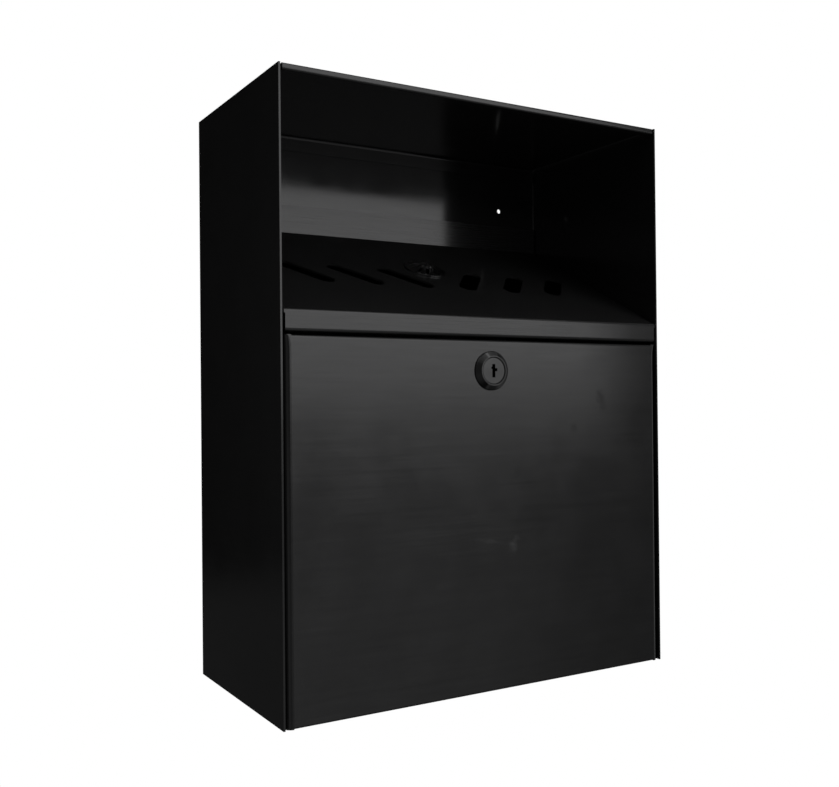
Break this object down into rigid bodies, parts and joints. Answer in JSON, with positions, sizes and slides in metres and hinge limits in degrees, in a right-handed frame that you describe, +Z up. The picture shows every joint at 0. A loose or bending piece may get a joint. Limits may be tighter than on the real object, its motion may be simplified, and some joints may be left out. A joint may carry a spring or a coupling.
{
  "type": "wall-mounted outdoor ashtray",
  "caption": "Wall-mounted outdoor ashtray: folded steel casing with an open hood, a slotted sloping tray and a locking door that tilts out with the ash bin.",
  "frame": {"origin": "centre of the casing's rear face, on the wall", "axes": "+X to the viewer's right, +Y from the front into the wall, +Z up"},
  "size_m": [0.252, 0.127, 0.33],
  "materials": {
    "black_steel": "black coated steel with a fine horizontal brushed grain, satin gloss",
    "bin_steel": "plain mill-finish steel sheet",
    "zinc_steel": "bright zinc plate",
    "lock_metal": "black chrome, polished",
    "wafer_brass": "stamped brass",
    "bush_nylon": "natural nylon"
  },
  "bodies": {
    "casing": {"casing_wrap": "black_steel", "top_panel": "black_steel", "bottom_panel": "black_steel", "ash_tray": "black_steel", "stub_plate": "black_steel", "lock_strike": "black_steel", "pivot_pin_left": "bin_steel", "pivot_pin_right": "bin_steel", "pivot_clip_left": "zinc_steel", "pivot_clip_right": "zinc_steel"},
    "tilt_bin": {"door_panel": "black_steel", "bin_wrap": "bin_steel", "bin_cheek_left": "bin_steel", "bin_cheek_right": "bin_steel", "pivot_bush_left": "bush_nylon", "pivot_bush_right": "bush_nylon", "bin_stud_lower_left": "bin_steel", "bin_stud_lower_right": "bin_steel", "bin_stud_upper_left": "bin_steel", "bin_stud_upper_right": "bin_steel", "bin_nut_lower_left": "zinc_steel", "bin_nut_lower_right": "zinc_steel", "bin_nut_upper_left": "zinc_steel", "bin_nut_upper_right": "zinc_steel", "lock_housing": "lock_metal", "lock_washer": "zinc_steel", "lock_nut": "zinc_steel"},
    "lock_barrel": {"lock_plug": "lock_metal", "lock_cam": "zinc_steel", "cam_washer": "zinc_steel", "cam_screw": "zinc_steel", "lock_wafer_1": "wafer_brass", "lock_wafer_2": "wafer_brass", "lock_wafer_3": "wafer_brass", "lock_wafer_4": "wafer_brass", "lock_wafer_5": "wafer_brass", "wafer_spring_1": "bin_steel", "wafer_spring_2": "bin_steel", "wafer_spring_3": "bin_steel", "wafer_spring_4": "bin_steel", "wafer_spring_5": "bin_steel"}
  },
  "joints": [
    {"name": "bin_tilt", "type": "hinge", "parent": "casing", "child": "tilt_bin", "pos_m": [0, -0.115, -0.1565], "axis": [1, 0, 0], "range_deg": [0, 30]},
    {"name": "lock_turn", "type": "hinge", "parent": "tilt_bin", "child": "lock_barrel", "pos_m": [0, -0.124, 0.0132], "axis": [0, 1, 0], "range_deg": [0, 90]}
  ]
}
